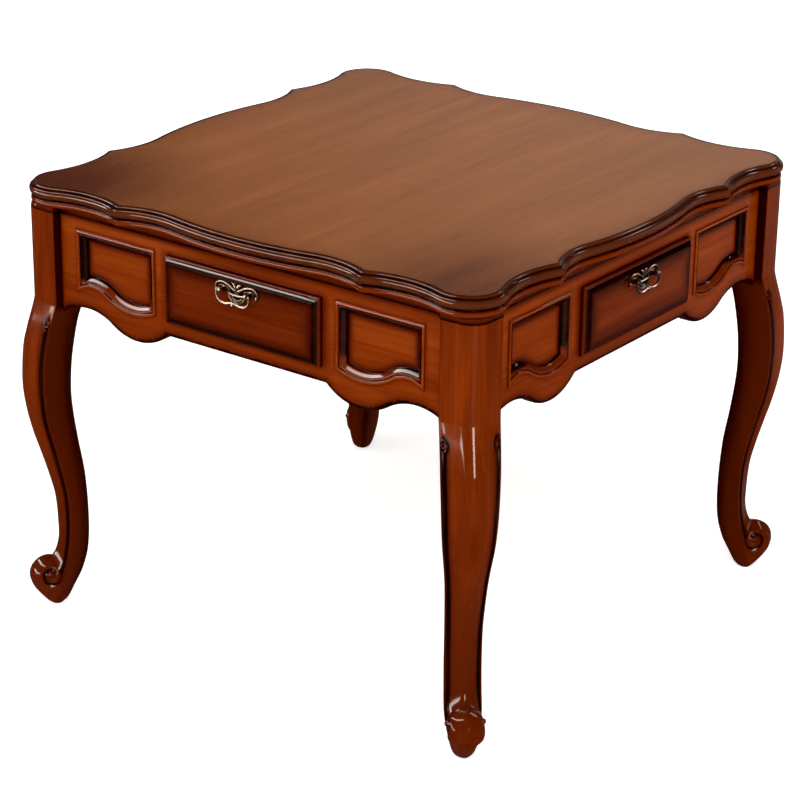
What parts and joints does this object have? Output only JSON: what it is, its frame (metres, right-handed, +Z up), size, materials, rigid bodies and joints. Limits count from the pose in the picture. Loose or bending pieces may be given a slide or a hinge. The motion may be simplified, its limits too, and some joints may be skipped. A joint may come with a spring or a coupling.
{
  "type": "game table",
  "caption": "Square game table: a scalloped loose top over a felted board, cabriole legs with scroll feet, panelled aprons and a drawer with a bail pull in each side.",
  "frame": {"origin": "on the floor under the middle of the table", "axes": "+Z up, the front side faces -Y, +X to the right of a person facing the front"},
  "size_m": [0.9548, 0.9548, 0.76],
  "materials": {
    "top_wood": "glossy",
    "frame_wood": "glossy",
    "drawer_wood": "glossy",
    "inner_wood": "matte",
    "felt": "matte",
    "antique_brass": "satin",
    "steel": "satin"
  },
  "bodies": {
    "frame": {"leg_back_right": "frame_wood", "leg_back_left": "frame_wood", "leg_front_left": "frame_wood", "leg_front_right": "frame_wood", "apron_front": "frame_wood", "apron_right": "frame_wood", "apron_back": "frame_wood", "apron_left": "frame_wood", "panel_mouldings_front": "frame_wood", "panel_mouldings_right": "frame_wood", "panel_mouldings_back": "frame_wood", "panel_mouldings_left": "frame_wood", "drawer_runners_front": "inner_wood", "drawer_runners_right": "inner_wood", "drawer_runners_back": "inner_wood", "drawer_runners_left": "inner_wood", "corner_blocks": "inner_wood", "board_screws": "steel", "hanger_bolts": "steel", "bolt_nuts": "steel", "bolt_washers": "steel", "game_board": "inner_wood", "playing_felt": "felt", "game_rim": "frame_wood"},
    "loose_top": {"dining_top": "top_wood", "locating_dowels": "inner_wood"},
    "drawer_front": {"drawer_front_front": "drawer_wood", "drawer_side_front_left": "inner_wood", "drawer_side_front_right": "inner_wood", "drawer_back_front": "inner_wood", "drawer_bottom_front": "inner_wood", "backplate_front": "antique_brass", "pull_screws_front": "steel"},
    "pull_front": {"bail_front": "antique_brass"},
    "drawer_right": {"drawer_front_right": "drawer_wood", "drawer_side_right_left": "inner_wood", "drawer_side_right_right": "inner_wood", "drawer_back_right": "inner_wood", "drawer_bottom_right": "inner_wood", "backplate_right": "antique_brass", "pull_screws_right": "steel"},
    "pull_right": {"bail_right": "antique_brass"},
    "drawer_back": {"drawer_front_back": "drawer_wood", "drawer_side_back_left": "inner_wood", "drawer_side_back_right": "inner_wood", "drawer_back_back": "inner_wood", "drawer_bottom_back": "inner_wood", "backplate_back": "antique_brass", "pull_screws_back": "steel"},
    "pull_back": {"bail_back": "antique_brass"},
    "drawer_left": {"drawer_front_left": "drawer_wood", "drawer_side_left_left": "inner_wood", "drawer_side_left_right": "inner_wood", "drawer_back_left": "inner_wood", "drawer_bottom_left": "inner_wood", "backplate_left": "antique_brass", "pull_screws_left": "steel"},
    "pull_left": {"bail_left": "antique_brass"}
  },
  "joints": [
    {"name": "dining_top_lift", "type": "slide", "parent": "frame", "child": "loose_top", "axis": [0, 0, 1], "range_m": [0, 0.15]},
    {"name": "drawer_front_slide", "type": "slide", "parent": "frame", "child": "drawer_front", "axis": [0, -1, 0], "range_m": [0, 0.18]},
    {"name": "pull_front_swing", "type": "hinge", "parent": "drawer_front", "child": "pull_front", "pos_m": [0, -0.4624, 0.671], "axis": [-1, 0, 0], "range_deg": [0, 90]},
    {"name": "drawer_right_slide", "type": "slide", "parent": "frame", "child": "drawer_right", "axis": [1, 0, 0], "range_m": [0, 0.18]},
    {"name": "pull_right_swing", "type": "hinge", "parent": "drawer_right", "child": "pull_right", "pos_m": [0.4624, 0, 0.671], "axis": [0, -1, 0], "range_deg": [0, 90]},
    {"name": "drawer_back_slide", "type": "slide", "parent": "frame", "child": "drawer_back", "axis": [0, 1, 0], "range_m": [0, 0.18]},
    {"name": "pull_back_swing", "type": "hinge", "parent": "drawer_back", "child": "pull_back", "pos_m": [0, 0.4624, 0.671], "axis": [1, 0, 0], "range_deg": [0, 90]},
    {"name": "drawer_left_slide", "type": "slide", "parent": "frame", "child": "drawer_left", "axis": [-1, 0, 0], "range_m": [0, 0.18]},
    {"name": "pull_left_swing", "type": "hinge", "parent": "drawer_left", "child": "pull_left", "pos_m": [-0.4624, 0, 0.671], "axis": [0, 1, 0], "range_deg": [0, 90]}
  ]
}
